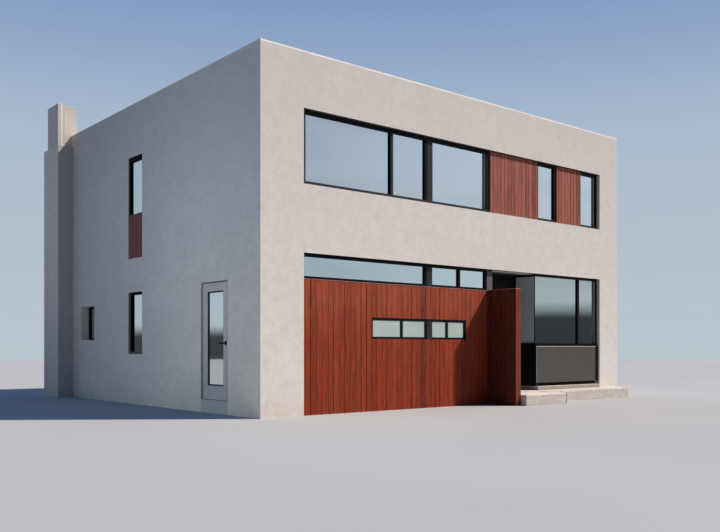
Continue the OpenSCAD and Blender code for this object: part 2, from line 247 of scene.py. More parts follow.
def stained_boards(name, dark, mid, light, rough=0.62, spec=0.15, height_tint=()):
    """Red-stained vertical boards: tone and hue differ by board, with long streaks of grain,
    browner weathered patches and brighter ones. The grain is shifted from board to board."""
    m = Mat(name, rough=rough, spec=spec)
    at = m.add("ShaderNodeAttribute")
    at.attribute_name = "tone"
    tone = at.outputs["Fac"]
    base = m.ramp(tone, [(0.0, dark), (0.5, mid), (1.0, light)])
    shift = m.add("ShaderNodeCombineXYZ")
    for k, f in enumerate((31.0, 47.0, 83.0)):
        m.link(m.math("MULTIPLY", tone, f), shift.inputs[k])
    moved = m.add("ShaderNodeVectorMath")
    m.link(m.co, moved.inputs[0])
    m.link(shift.outputs[0], moved.inputs[1])

    def streaks(across, up, detail=5.0, r=0.62):
        mp = m.add("ShaderNodeMapping")
        mp.inputs["Scale"].default_value = (across, across, up)
        m.link(moved.outputs[0], mp.inputs["Vector"])
        return m.noise(1.0, detail, r, vec=mp.outputs["Vector"])

    grain = streaks(34.0, 2.0, 6.0, 0.70)
    fine = streaks(66.0, 2.2)
    patch = streaks(11.0, 2.4, 4.0)
    glow = streaks(30.0, 2.6, 5.0, 0.70)
    hue = m.math("FRACT", m.math("MULTIPLY", tone, 7.3))
    col = m.mix(m.span(hue, 0.25, 1.0, 0.0, 0.55), base, (mid[0] * 1.14, mid[1] * 1.45, mid[2] * 1.8))
    col = m.mix(m.span(grain, 0.45, 0.65, 0.0, 0.62), col, (dark[0] * 1.05, dark[1] * 1.10, dark[2] * 1.05))
    col = m.mix(m.span(patch, 0.48, 0.66, 0.0, 0.65), col, (mid[0] * 0.50, mid[1] * 0.98, mid[2] * 0.95))
    col = m.mix(m.span(glow, 0.50, 0.66, 0.0, 0.55), col, (min(1.0, light[0] * 1.24), light[1] * 1.20, light[2] * 0.86))
    col = m.mix(m.span(fine, 0.48, 0.68, 0.0, 0.50), col, (light[0] * 1.15, light[1] * 1.35, light[2] * 1.55))
    if height_tint:
        # deeper red towards the foot, paler and a little pinker towards the head
        z0, z1 = height_tint[0][0], height_tint[-1][0]
        tint = m.ramp(m.span(m.axis(2), z0 + OZ, z1 + OZ, 0.0, 1.0), [((z - z0) / (z1 - z0), c) for z, c in height_tint])
        col = m.mix(1.0, col, tint, "MULTIPLY")
    r = m.span(grain, 0.3, 0.7, rough + 0.12, rough - 0.06)
    return m.set(color=col, rough=r, normal=m.height(fine, 0.0012, 0.5, after=m.height(grain, 0.003, 0.5)))


def coated_metal(name, base, rough=0.38, speck=0.05, spec=0.4, left=None):
    m = Mat(name, rough=rough, spec=spec)
    n = m.noise(3.2, 4.0, 0.6)
    peel = m.noise(420.0, 2.0, 0.5)
    col = m.ramp(n, [(0.3, tuple(c * (1 - speck * 2) for c in base)), (0.7, tuple(c * (1 + speck * 2) for c in base))])
    r = m.span(n, 0.3, 0.7, rough - 0.05, rough + 0.08)
    if left:
        # painted shade: the left face is painted darker and cooler
        at, tint = left
        col = m.mix(m.span(m.axis(0), at - OX, at + 0.004 - OX, 1.0, 0.0), col, m.mix(1.0, col, tint, "MULTIPLY"))
    return m.set(color=col, rough=r, normal=m.height(peel, 0.0006, 0.25))


def concrete(name, base, rough=0.8, top=None):
    m = Mat(name, rough=rough, spec=0.25)
    col = m.ramp(m.noise(1.7, 5.0, 0.6), [(0.3, tuple(c * 0.86 for c in base)), (0.72, tuple(min(1, c * 1.07) for c in base))])
    fine = m.noise(60.0, 5.0, 0.65)
    col = m.mix(m.span(fine, 0.3, 0.7, 0.0, 0.35), col, tuple(c * 0.80 for c in base))
    pits = m.span(m.noise(34.0, 1.0, 0.4), 0.68, 0.74, 0.0, 1.0)
    col = m.mix(m.math("MULTIPLY", pits, 0.45), col, tuple(c * 0.45 for c in base))
    if top:
        # weathered in cooler and darker patches; the top arrises and a band just under them are painted pale, unevenly
        # along them, as a painted highlight where the sun lights the tops
        worn = m.noise(1.0, 6.0, 0.72, vec=m.scaled(4.2, 4.2, 13.0))
        col = m.mix(m.span(worn, 0.42, 0.64, 0.0, 0.80), col, (base[0] * 0.70, base[1] * 0.685, base[2] * 0.735))
        speck = m.noise(1.0, 3.0, 0.6, vec=m.scaled(22.0, 22.0, 26.0))
        col = m.mix(m.span(speck, 0.50, 0.66, 0.0, 0.45), col, tuple(min(1.0, c * 1.22) for c in base))
        # painted highlight: a pale band along the top arrises
        edge = m.math("MULTIPLY", m.span(m.axis(2), top + OZ - 0.022, top + OZ - 0.003, 0.0, 0.85), m.span(m.noise(5.0, 4.0, 0.6), 0.38, 0.58, 0.35, 1.0))
        col = m.mix(edge, col, (0.74, 0.69, 0.65))
    nrm = m.height(fine, 0.002, 0.5, after=m.height(m.math("MULTIPLY", pits, -1.0), 0.004, 0.6))
    return m.set(color=col, normal=nrm)


def glazing(name, tint, rough=0.03, wave=0.0006):
    """Mirror-like sealed glass of one even tint. All that shows in it is mirrored."""
    m = Mat(name, rough=rough, metallic=1.0, color=tint, spec=0.5)
    return m.set(normal=m.height(m.noise(0.9, 2.0, 0.5), wave, 1.0))


WALL = (0.672, 0.652, 0.628)
M_wall = render_coat("render_coat", WALL, shade=(0.0, ((0.4, (1.075, 1.065, 1.01)), (1.6, (0.985, 0.990, 0.985)), (3.2, (0.890, 0.930, 0.960)), (4.6, (0.845, 0.895, 0.930)), (6.0, (0.775, 0.830, 0.875)))))
M_breast = render_coat("breast_render", WALL, front_face_painted_shade=(7.990, 0.42), shade=(-0.454, ((0.5, (0.97, 1.01, 1.02)), (5.9, (0.95, 1.00, 1.03)))))
M_stack = render_coat("chimney_render", (0.645, 0.625, 0.575), cloud=0.05, shade=(-0.347, ((2.6, (0.90, 0.99, 1.05)), (6.0, (0.87, 0.97, 1.02)))))
M_bright = render_coat("bright_edge", (0.860, 0.815, 0.740), cloud=0.03)
M_boards = stained_boards("stained_boards", (0.095, 0.013, 0.006), (0.252, 0.037, 0.014), (0.320, 0.054, 0.021),
                          height_tint=[(0.3, (0.93, 0.78, 0.65)), (1.2, (0.96, 0.90, 0.82)), (1.85, (1.13, 1.32, 1.48))])
M_fin = stained_boards("stained_boards_fin", (0.050, 0.010, 0.007), (0.096, 0.018, 0.012), (0.135, 0.029, 0.019), spec=0.12)
M_fin_end = stained_boards("stained_boards_end", (0.090, 0.015, 0.008), (0.168, 0.032, 0.015), (0.235, 0.050, 0.025))
M_boards_up = stained_boards("stained_boards_upper", (0.135, 0.035, 0.028), (0.290, 0.080, 0.058), (0.360, 0.115, 0.082))
M_boards_dark = stained_boards("stained_boards_dark", (0.090, 0.028, 0.024), (0.185, 0.056, 0.046), (0.240, 0.078, 0.060))
M_cap = stained_boards("stained_cap", (0.300, 0.110, 0.080), (0.400, 0.180, 0.140), (0.460, 0.220, 0.180))
M_core = coated_metal("board_backing", (0.014, 0.009, 0.008), rough=0.8, spec=0.1)
# painted shade and light: the frames are near black as in shade, and mullion_cover gives their sunlit fronts a lighter
# grey
M_frame = coated_metal("black_frame", (0.0048, 0.0056, 0.0068), rough=0.45, spec=0.08)
M_cover_painted_light = coated_metal("mullion_cover", (0.0290, 0.0300, 0.0320), rough=0.5, spec=0.10)
M_bayframe = coated_metal("bay_frame", (0.0085, 0.0090, 0.0100), rough=0.42, spec=0.10)
# painted light and shade: flank_frame is the lit front of the flank window frames; gasket is their shaded parts, and
# also the real black gaskets, sills and outlet
M_slotframe = coated_metal("flank_frame", (0.060, 0.066, 0.068), rough=0.5, spec=0.15)
M_gasket_and_painted_shade = coated_metal("gasket", (0.005, 0.005, 0.006), rough=0.75, spec=0.05)
# painted shade: these dark liners stand for the shade in reveals, in a gap by the step and beside the chimney bead
M_painted_shade_liner = coated_metal("painted_shade_liner", (0.070, 0.058, 0.048), rough=0.8, spec=0.1)
M_painted_shade_liner_dark = coated_metal("painted_shade_liner_dark", (0.022, 0.021, 0.020), rough=0.8, spec=0.1)
M_jamb = coated_metal("jamb_strip", (0.33, 0.37, 0.38), rough=0.6, spec=0.15)
M_bead = coated_metal("door_bead", (0.042, 0.047, 0.052), rough=0.6, spec=0.12)
M_post = coated_metal("grey_post", (0.098, 0.095, 0.095), rough=0.6, spec=0.2)
# painted shade: the porch's back wall, door and soffit are coloured near black and dark grey for the shade of the
# recess
M_porch = coated_metal("porch_board", (0.012, 0.012, 0.013), rough=0.6, spec=0.12)
M_soffit = coated_metal("porch_soffit", (0.075, 0.073, 0.068), rough=0.8, spec=0.1)
M_panel = coated_metal("bay_panel", (0.068, 0.066, 0.060), rough=0.5, spec=0.22)
M_trim = coated_metal("pale_trim", (0.36, 0.335, 0.31), rough=0.45)
M_coping = coated_metal("coping", (0.78, 0.770, 0.760), rough=0.5, left=(0.0, (0.56, 0.60, 0.64)))
M_step = concrete("cast_step", (0.565, 0.532, 0.508), top=0.092)
M_step_edge = concrete("plinth_edge", (0.70, 0.65, 0.61))
M_plinth = concrete("cast_plinth", (0.380, 0.345, 0.325), top=0.197)
M_floor = concrete("cast_floor", (0.30, 0.285, 0.27))
M_roof = concrete("roof_membrane", (0.115, 0.115, 0.120), rough=0.85)
M_door = coated_metal("door_paint", (0.495, 0.485, 0.485), rough=0.55, speck=0.02, spec=0.3)
M_doorframe = coated_metal("door_frame", (0.210, 0.222, 0.245), rough=0.6, spec=0.1)
M_black = coated_metal("black_metal", (0.004, 0.004, 0.005), rough=0.5, spec=0.10)
M_steel = coated_metal("steel_grey", (0.30, 0.30, 0.31), rough=0.35)

M_glass_up = glazing("glass_upper", (0.56, 0.55, 0.54))
M_glass_clere = glazing("glass_clerestory", (0.54, 0.60, 0.59))
M_glass_bay = glazing("glass_bay", (0.39, 0.42, 0.395))
M_glass_side = glazing("glass_flank", (0.66, 0.72, 0.70))
M_glass_slot = glazing("glass_slot", (0.62, 0.66, 0.65))
M_glass_back = glazing("glass_back", (0.55, 0.61, 0.60))

# the pane beside the porch: rough, of a pale blue-grey diffuse colour, a painted reflection of what the glass mirrors
m = Mat("glass_bay_side", rough=0.22, spec=0.55, color=(0.56, 0.72, 0.78))
m.set(normal=m.height(m.noise(0.9, 2.0, 0.5), 0.0006, 1.0))
M_glass_bay_side = m.m

m = Mat("glass_frosted", rough=0.35, spec=0.35)
tint = m.ramp(m.noise(2.2, 3.0, 0.5), [(0.3, (0.375, 0.475, 0.450)), (0.7, (0.430, 0.530, 0.505))])
m.set(color=tint, normal=m.height(m.noise(160.0, 3.0, 0.6), 0.001, 0.3))
M_frost = m.m

for names, mat in (
    (("front_wall", "left_wall_front", "left_wall_over_door", "left_wall_rear", "right_wall", "back_wall"), M_wall),
    (("chimney_breast",), M_breast),
    (("chimney_stack",), M_stack),
    (("ground_floor_slab", "upper_floor_slab", "roof_slab"), M_floor),
    (("roof_covering",), M_roof),
    (("parapet_coping",), M_coping),
    (("timber_wall", "timber_fin", "ribbon_timber_panels", "side_slot_panels"), M_core),
    (("porch_side_wall",), M_post),
    (("porch_back_wall", "entrance_door"), M_porch),
    (("porch_soffit",), M_soffit),
    (("porch_floor", "entrance_step"), M_step),
    (("bay_plinth",), M_plinth),
    (("clerestory_frame", "strip_window_frame", "ribbon_window_frame", "back_window_frames"), M_frame),
    (("bay_window_frame", "bay_side_panel"), M_bayframe),
    # the flank window frames are near black as painted shade; their fronts get the flank_frame covers
    (("side_window_frames",), M_gasket_and_painted_shade),
    (("bay_front_panel",), M_panel),
    (("clerestory_glass",), M_glass_clere),
    (("ribbon_window_glass",), M_glass_up),
    (("bay_glass",), M_glass_bay),
    (("side_door_glass",), M_glass_side),
    (("side_window_glass",), M_glass_slot),
    (("back_window_glass",), M_glass_back),
    (("strip_window_glass",), M_frost),
    (("side_door_threshold", "side_door_leaf"), M_door),
    (("side_door_frame",), M_doorframe),
    (("side_door_lever",), M_black),
):
    for n in names:
        node[n].data.materials.clear()
        node[n].data.materials.append(mat)


# ------------------------------------------------------------------ boards
def tone():
    return min(1.0, max(0.0, rnd.gauss(0.5, 0.20)))


def board_run(bm, a0, a1, n, z0, z1, put, holes=(), gaps=(0.005, 0.007, 0.008, 0.011), jitter=0.0, start=None, stop=None):
    """n vertical boards between a0 and a1; holes are (a, b, z, z) windows that cut them.
    The joints between them vary in width, and start and stop trim the end boards."""
    w = (a1 - a0) / n
    half = [rnd.choice(gaps) / 2 for _ in range(n + 1)]
    edge = [a0 + i * w + (rnd.uniform(-jitter, jitter) if 0 < i < n else 0.0) for i in range(n + 1)]
    for i in range(n):
        lo, hi = edge[i] + half[i], edge[i + 1] - half[i + 1]
        if start is not None:
            lo, hi = max(lo, start), min(hi, stop)
        t = tone()
        cuts = [h for h in holes if h[0] < hi and h[1] > lo]
        if not cuts:
            put(bm, lo, hi, z0, z1, t)
            continue
        h = cuts[0]
        put(bm, lo, hi, z0, h[2], t)
        put(bm, lo, hi, h[3], z1, t)
        if lo < h[0]:
            put(bm, lo, h[0], h[2], h[3], t)
        if hi > h[1]:
            put(bm, h[1], hi, h[2], h[3], t)


# the front of the ground floor, with the strip window cut through, and its top batten
bm = bmesh.new()
board_run(bm, 0.8143, 5.5205, 38, BASE, 2.184, lambda b, lo, hi, z0, z1, t: box(b, lo, hi, 0.080, 0.102, z0, z1, t),
          holes=[(2.430, 4.900, 1.187, 1.573)], gaps=(0.006, 0.009, 0.011, 0.014), jitter=0.006, start=0.867, stop=5.519)
piece("timber_wall_boards", bm, M_boards, bevel=0.003)
bm = bmesh.new()
box(bm, 0.866, 5.519, 0.074, 0.102, 2.185, 2.194, 0.5)
piece("timber_wall_batten", bm, M_cap, bevel=0.002)

# the fin: boards on both sides, a wide end board with a shadow gap, a capping
bm = bmesh.new()
board_run(bm, -0.634, 0.078, 6, BASE, 2.188, lambda b, lo, hi, z0, z1, t: box(b, 5.520, 5.542, lo, hi, z0, z1, t))
board_run(bm, -0.638, 0.078, 6, BASE, 2.188, lambda b, lo, hi, z0, z1, t: box(b, 5.663, 5.685, lo, hi, z0, z1, t))
piece("timber_fin_boards", bm, M_fin, bevel=0.003)
bm = bmesh.new()
box(bm, 5.540, 5.610, -0.660, -0.636, BASE, 2.188, 0.60)
box(bm, 5.6135, 5.685, -0.660, -0.638, BASE, 2.188, 0.45)
piece("timber_fin_end_boards", bm, M_fin_end, bevel=0.003)
bm = bmesh.new()
box(bm, 5.519, 5.686, -0.659, 0.078, 2.189, 2.200, 0.5)
piece("timber_fin_capping", bm, M_cap, bevel=0.002)

# panels in the ribbon, of narrower boards that stand further forward
bm = bmesh.new()
for a0, a1, n, start, stop in ((5.578, 7.164, 14, 5.597, 7.120), (7.738, 8.742, 9, 7.795, 8.666)):
    board_run(bm, a0, a1, n, 3.778, 5.034, lambda b, lo, hi, z0, z1, t: box(b, lo, hi, 0.055, 0.101, z0, z1, t),
              gaps=(0.006, 0.009, 0.011, 0.014), jitter=0.006, start=start, stop=stop)
piece("ribbon_panel_boards", bm, M_boards_up, bevel=0.004)

bm = bmesh.new()
for x0, x1 in ((0.008, 0.030), (10.010, 10.032)):
    board_run(bm, 4.312, 4.956, 6, 2.853, 3.716, lambda b, lo, hi, z0, z1, t: box(b, x0, x1, lo, hi, z0, z1, t))
piece("side_panel_boards", bm, M_boards_dark, bevel=0.003)


# ------------------------------------------------------------------ windows
def ring(bm, x0, x1, y0, y1, z0, z1, w, sill=None):
    """Four bars round an opening in a wall that faces front or back."""
    s = w if sill is None else sill
    box(bm, x0, x1, y0, y1, z0, z0 + s)
    box(bm, x0, x1, y0, y1, z1 - w, z1)
    box(bm, x0, x0 + w, y0, y1, z0 + s, z1 - w)
    box(bm, x1 - w, x1, y0, y1, z0 + s, z1 - w)


def ring_side(bm, x0, x1, y0, y1, z0, z1, w):
    """The same in a wall that faces left or right."""
    box(bm, x0, x1, y0, y1, z0, z0 + w)
    box(bm, x0, x1, y0, y1, z1 - w, z1)
    box(bm, x0, x1, y0, y0 + w, z0 + w, z1 - w)
    box(bm, x0, x1, y1 - w, y1, z0 + w, z1 - w)


RIBBON = [(0.954, 2.872), (2.945, 3.758), (3.960, 5.452), (7.173, 7.716), (8.710, 9.216)]
CLERE = [(0.914, 3.759), (3.952, 4.683), (4.734, 5.467)]
STRIP = [(2.457, 3.135), (3.194, 3.760), (3.955, 4.330), (4.393, 4.832)]
BACK = [(1.260, 4.460, 3.775, 5.042), (5.580, 8.780, 3.775, 5.042), (1.260, 4.460, 1.352, 2.619), (5.580, 8.780, 1.352, 2.619)]

# glazing gaskets, tight to the glass
bm = bmesh.new()
for x0, x1 in RIBBON:
    ring(bm, x0, x1, 0.109, 0.1155, 3.840, 4.979, 0.007)
for x0, x1 in CLERE:
    ring(bm, x0, x1, 0.109, 0.1155, 2.233, 2.572, 0.007)
for x0, x1 in STRIP:
    ring(bm, x0, x1, 0.089, 0.0935, 1.221, 1.529, 0.005)
for x0, x1, z0, z1 in BACK:
    mid = (x0 + x1) / 2
    for a, b in ((x0 + 0.065, mid - 0.032), (mid + 0.032, x1 - 0.065)):
        ring(bm, a, b, 9.1845, 9.191, z0 + 0.065, z1 - 0.063, 0.007)
piece("window_gaskets", bm, M_gasket_and_painted_shade)

# posts that divide the long windows: a cover on the right part of each wide mullion, and covers on the sills; their
# grey is painted light on the sunlit fronts of the near-black frames
bm = bmesh.new()
box(bm, 3.822, 3.9595, 0.0755, 0.082, 3.777, 4.980, 0.5)
box(bm, 2.8965, 2.9445, 0.0765, 0.082, 3.842, 4.977, 0.5)
box(bm, 0.866, 3.821, 0.0770, 0.082, 3.777, 3.838, 0.5)
box(bm, 3.961, 5.590, 0.0770, 0.082, 3.777, 3.838, 0.5)
box(bm, 7.128, 7.786, 0.0770, 0.082, 3.777, 3.838, 0.5)
box(bm, 8.674, 9.330, 0.0770, 0.082, 3.777, 3.838, 0.5)
box(bm, 3.816, 3.9515, 0.0755, 0.082, 2.198, 2.572, 0.5)
box(bm, 3.818, 3.9545, 0.0795, 0.086, 1.190, 1.528, 0.5)
piece("mullion_covers", bm, M_cover_painted_light, bevel=0.0015)

# light grey strips on the right jambs, beside the glass
bm = bmesh.new()
box(bm, 5.4492, 5.4522, 0.0815, 0.1085, 3.848, 4.972)
box(bm, 9.2132, 9.2162, 0.0815, 0.1085, 3.848, 4.972)
box(bm, 9.2472, 9.2502, 0.0785, 0.1080, 1.134, 2.566)
piece("jamb_strips", bm, M_jamb, bevel=0.0006)

# dark linings under the heads of the openings: painted shade of the reveal soffits
bm = bmesh.new()
box(bm, 0.866, 9.332, 0.003, 0.079, 5.0385, 5.0418)
piece("ribbon_reveal_painted_shade", bm, M_painted_shade_liner)
bm = bmesh.new()
box(bm, 0.866, 5.519, 0.003, 0.079, 2.6155, 2.6188)
box(bm, 5.521, 9.332, 0.003, 0.075, 2.6155, 2.6188)
piece("lower_reveal_painted_shade", bm, M_painted_shade_liner_dark)

# flank windows: covers on the fronts of the frames, set in the render; their grey-green is painted light on the fronts
# that face the sky, while the frames behind stay near black as painted shade
bm = bmesh.new()
for sx in (0, 1):
    for y0, y1, z0, z1, near, far, head, sill in ((4.308, 4.960, 3.720, 4.925, 0.025, 0.045, 0.088, 0.030),
                                                  (4.308, 4.960, 0.900, 2.160, 0.025, 0.090, 0.052, 0.045)):
        xa, xb = (0.0090, 0.0125) if not sx else (10.040 - 0.0125, 10.040 - 0.0090)
        box(bm, xa, xb, y0 + 0.001, y1 - 0.001, z0 + 0.001, z0 + sill)
        box(bm, xa, xb, y0 + 0.001, y0 + near, z0 + sill, z1 - head)
        box(bm, xa, xb, y1 - far, y1 - 0.001, z0 + sill, z1 - 0.001)
piece("flank_frame_covers", bm, M_slotframe, bevel=0.001)

# ------------------------------------------------------------------ bay
# front panes and the pane beside the porch; the side pane's pale diffuse colour is a painted reflection
bm = bmesh.new()
box(bm, 7.105, 8.590, 0.110, 0.134, 1.127, 2.572)
box(bm, 8.648, 9.250, 0.110, 0.134, 1.127, 2.572)
piece("bay_front_panes", bm, M_glass_bay, bevel=0.001, replaces=("bay_glass",))
bm = bmesh.new()
box(bm, 7.105, 7.129, 0.136, 0.635, 1.127, 2.572)
piece("bay_side_pane", bm, M_glass_bay_side, bevel=0.001, replaces=("bay_glass",))

# panel under the glass: bright folded top and left edges, black sill, and a black foot in the gap under the panel,
# painted shade of that gap
bm = bmesh.new()
box(bm, 7.070, 9.241, 0.0425, 0.0455, 1.047, 1.069)
box(bm, 7.070, 7.078, 0.0425, 0.0455, 0.272, 1.047)
piece("bay_panel_edge", bm, M_trim, bevel=0.001)
bm = bmesh.new()
box(bm, 7.072, 9.333, 0.040, 0.076, 1.0695, 1.0790)
box(bm, 7.072, 9.333, 0.070, 0.0765, 1.079, 1.125)
box(bm, 7.141, 9.204, 0.060, 0.090, 0.198, 0.269)
piece("bay_sill_and_foot", bm, M_gasket_and_painted_shade, bevel=0.001)
bm = bmesh.new()
box(bm, 9.205, 9.2405, 0.0395, 0.090, 0.198, 0.2655)
box(bm, 9.2405, 9.333, 0.0395, 0.0452, 0.198, 0.2655)
piece("bay_foot_block", bm, M_panel, bevel=0.002)
bm = bmesh.new()
box(bm, 9.236, 9.2405, 0.0385, 0.045, 0.272, 1.069)
box(bm, 7.072, 9.240, 0.0385, 0.045, 0.266, 0.2705)
piece("bay_panel_hem", bm, M_gasket_and_painted_shade, bevel=0.0008)

# ------------------------------------------------------------------ porch
# the porch's back boards and door panels are near black as painted shade of the recess
bm = bmesh.new()
for i in range(8):
    x0 = 5.688 + i * 0.1725
    if x0 + 0.17 < 5.852:
        box(bm, x0, x0 + 0.1685, 0.688, 0.701, 0.114, 2.612)
for x0, x1 in ((6.892, 7.066),):
    box(bm, x0, x1, 0.688, 0.701, 0.114, 2.612)
n = 6
for i in range(n):
    w = (6.890 - 5.852) / n
    box(bm, 5.852 + i * w + 0.002, 5.852 + (i + 1) * w - 0.002, 0.688, 0.701, 2.334, 2.612)
piece("porch_back_boards", bm, M_porch, bevel=0.002)
bm = bmesh.new()
ring(bm, 5.852, 6.888, 0.725, 0.741, 0.114, 2.328, 0.055)
for k in range(5):
    z0 = 0.180 + k * 0.416
    box(bm, 5.915, 6.825, 0.733, 0.741, z0, z0 + 0.408)
piece("entrance_door_panels", bm, M_porch, bevel=0.003)
bm = bmesh.new()
tube(bm, (6.735, 0.690, 0.75), (6.735, 0.690, 1.75), 0.014)
tube(bm, (6.735, 0.690, 0.90), (6.735, 0.735, 0.90), 0.009)
tube(bm, (6.735, 0.690, 1.60), (6.735, 0.735, 1.60), 0.009)
piece("entrance_door_pull", bm, M_steel, bevel=0.002, smooth=True)

# ------------------------------------------------------------------ step: cast blocks with worn arrises
bm = bmesh.new()
v = box(bm, 5.6855, 7.026, -0.800, -0.0005, BASE, 0.090)
bmesh.ops.bevel(bm, geom=[e for e in bm.edges if abs(e.verts[0].co.x - e.verts[1].co.x) < 1e-6
                          and abs(e.verts[0].co.y - e.verts[1].co.y) < 1e-6 and e.verts[0].co.x > 1.0 and e.verts[0].co.y < -4.9],
                offset=0.045, segments=5, affect="EDGES")
box(bm, 7.036, 9.890, -0.400, -0.0005, BASE, 0.112)
piece("entrance_step_blocks", bm, M_step, bevel=0.006, seg=3, replaces=("entrance_step",))
# a mortar fillet from the step up to the ledge, and a dark strip in the gap at the step's right end, painted shade of
# that gap
bm = bmesh.new()
a = [bm.verts.new((x - OX, y - OY, z + OZ)) for y in (-0.399, -0.0005) for x, z in ((6.960, 0.0885), (7.0355, 0.0885), (7.0355, 0.1115))]
for q in ((0, 1, 2), (5, 4, 3), (0, 3, 4, 1), (1, 4, 5, 2), (2, 5, 3, 0)):
    bm.faces.new([a[k] for k in q])
piece("step_fillet", bm, M_step)
bm = bmesh.new()
box(bm, 7.0262, 7.0350, -0.770, -0.4005, BASE, 0.083)
piece("step_end_gap_shade", bm, M_painted_shade_liner, bevel=0.002)
bm = bmesh.new()
box(bm, 7.073, 9.332, -0.004, 0.0005, 0.186, 0.196)
piece("plinth_drip", bm, M_step_edge, bevel=0.001)

# ------------------------------------------------------------------ side door
L0, L1, H0, H1 = 1.039, 1.906, 0.119, 2.156          # the leaf
G0, G1, K0, K1 = 1.201, 1.745, 0.360, 2.015          # its glass
LX = 0.030                                            # its outer face
bm = bmesh.new()
w = 0.025
ring_side(bm, LX + 0.012, LX + 0.022, G0, G1, K0, K1, w)
ring_side(bm, LX + 0.0005, LX + 0.012, G0, G1, K0, K1, 0.003)
piece("side_door_beads", bm, M_bead, body="side_door", bevel=0.0008)
bm = bmesh.new()
# a shallow raised border on the outer face
t = 0.0025
box(bm, LX - t, LX + 0.001, L0 + 0.004, L1 - 0.004, H1 - 0.038, H1 - 0.036)
box(bm, LX - t, LX + 0.001, L0 + 0.036, L0 + 0.038, H0 + 0.004, H1 - 0.038)
piece("side_door_border", bm, M_doorframe, body="side_door")
# rose and lever
LY, LZ = 1.120, 1.105
bm = bmesh.new()
for x0, x1 in ((LX - 0.0095, LX - 0.0005), (0.0765, 0.0855)):
    rings = []
    for x in (x0, x1):
        for ry, rz in ((0.0290, 0.0410), (0.0142, 0.0142)):
            rings.append([bm.verts.new((x - OX, LY - OY + ry * math.cos(a), LZ + OZ + rz * math.sin(a)))
                          for a in (2 * math.pi * k / 40 for k in range(40))])
    for k in range(40):
        j = (k + 1) % 40
        bm.faces.new((rings[0][k], rings[0][j], rings[2][j], rings[2][k]))
        bm.faces.new((rings[1][j], rings[1][k], rings[3][k], rings[3][j]))
        bm.faces.new((rings[0][j], rings[0][k], rings[1][k], rings[1][j]))
        bm.faces.new((rings[2][k], rings[2][j], rings[3][j], rings[3][k]))
piece("side_door_roses", bm, M_black, body="side_door")
bm = bmesh.new()
tube(bm, (LX - 0.052, LY, LZ), (0.128, LY, LZ), 0.0105, sides=24)
for x in (LX - 0.062, 0.120):
    box(bm, x, x + 0.018, LY - 0.014, LY + 0.128, LZ - 0.013, LZ + 0.013)
piece("side_door_lever_handle", bm, M_black, body="door_lever", bevel=0.003, seg=3, replaces=("side_door_lever",))

# ------------------------------------------------------------------ chimney
bm = bmesh.new()
for x0, x1, y0, y1 in ((-0.348, -0.190, 7.988, 8.088), (-0.348, 0.130, 8.088, 8.188), (-0.348, -0.255, 8.188, 8.654),
                       (-0.065, 0.130, 8.188, 8.654), (-0.255, -0.065, 8.572, 8.654)):
    box(bm, x0 - 0.002 * (x0 < -0.3), x1 + 0.002 * (x1 > 0.1), y0 - 0.002 * (y0 < 8.15), y1 + 0.002 * (y1 > 8.6), 6.676, 6.692)
piece("chimney_capping", bm, M_bright)
bm = bmesh.new()
box(bm, -0.286, -0.222, 7.9855, 7.990, 5.722, 6.675)
piece("chimney_edge_bead", bm, M_bright)
# a dark strip beside the bead: painted shadow
bm = bmesh.new()
box(bm, -0.2215, -0.2130, 7.9870, 7.990, 5.722, 6.675)
piece("chimney_edge_painted_shadow", bm, M_painted_shade_liner)

# ------------------------------------------------------------------ roof: welded laps, upstand, outlet
bm = bmesh.new()
for i in range(1, 9):
    x = 0.350 + i * 1.038
    box(bm, x - 0.030, x + 0.030, 0.362, 8.938, 5.6195, 5.6235)
box(bm, 0.3505, 0.362, 0.351, 8.949, 5.619, 5.780)
box(bm, 9.678, 9.6895, 0.351, 8.949, 5.619, 5.780)
box(bm, 0.362, 9.678, 0.3505, 0.362, 5.619, 5.780)
box(bm, 0.362, 9.678, 8.938, 8.9495, 5.619, 5.780)
piece("roof_laps_and_upstand", bm, M_roof)
bm = bmesh.new()
tube(bm, (8.9, 8.2, 5.619), (8.9, 8.2, 5.632), 0.11, sides=32)
tube(bm, (8.9, 8.2, 5.632), (8.9, 8.2, 5.690), 0.065, sides=24)
for k in range(12):
    a = 2 * math.pi * k / 12
    tube(bm, (8.9 + 0.078 * math.cos(a), 8.2 + 0.078 * math.sin(a), 5.630), (8.9 + 0.066 * math.cos(a), 8.2 + 0.066 * math.sin(a), 5.694), 0.006, sides=8)
piece("roof_outlet", bm, M_gasket_and_painted_shade, smooth=False)
bm = bmesh.new()
for i in range(1, 4):
    x = i * 10.040 / 4
    box(bm, x - 0.05, x + 0.05, 0.001, 0.349, 5.998, 6.0015)
    box(bm, x - 0.05, x + 0.05, 8.951, 9.299, 5.998, 6.0015)
for i in range(1, 4):
    y = i * 9.300 / 4
    box(bm, 0.001, 0.349, y - 0.05, y + 0.05, 5.998, 6.0015)
    box(bm, 9.691, 10.039, y - 0.05, y + 0.05, 5.998, 6.0015)
piece("coping_joint_plates", bm, M_coping, bevel=0.0005)

# ------------------------------------------------------------------ stage, camera, light
bm = bmesh.new()
s = 60.0
bm.faces.new([bm.verts.new(p) for p in ((-s, -s, 0), (s, -s, 0), (s, s, 0), (-s, s, 0))])
me = bpy.data.meshes.new("floor")
bm.to_mesh(me)
bm.free()
floor = bpy.data.objects.new("floor", me)
bpy.context.scene.collection.objects.link(floor)
m = Mat("floor", rough=0.9, spec=0.1)
m.set(color=m.ramp(m.noise(0.2, 3.0, 0.5), [(0.3, (0.405, 0.425, 0.445)), (0.7, (0.435, 0.455, 0.475))]))
me.materials.append(m.m)

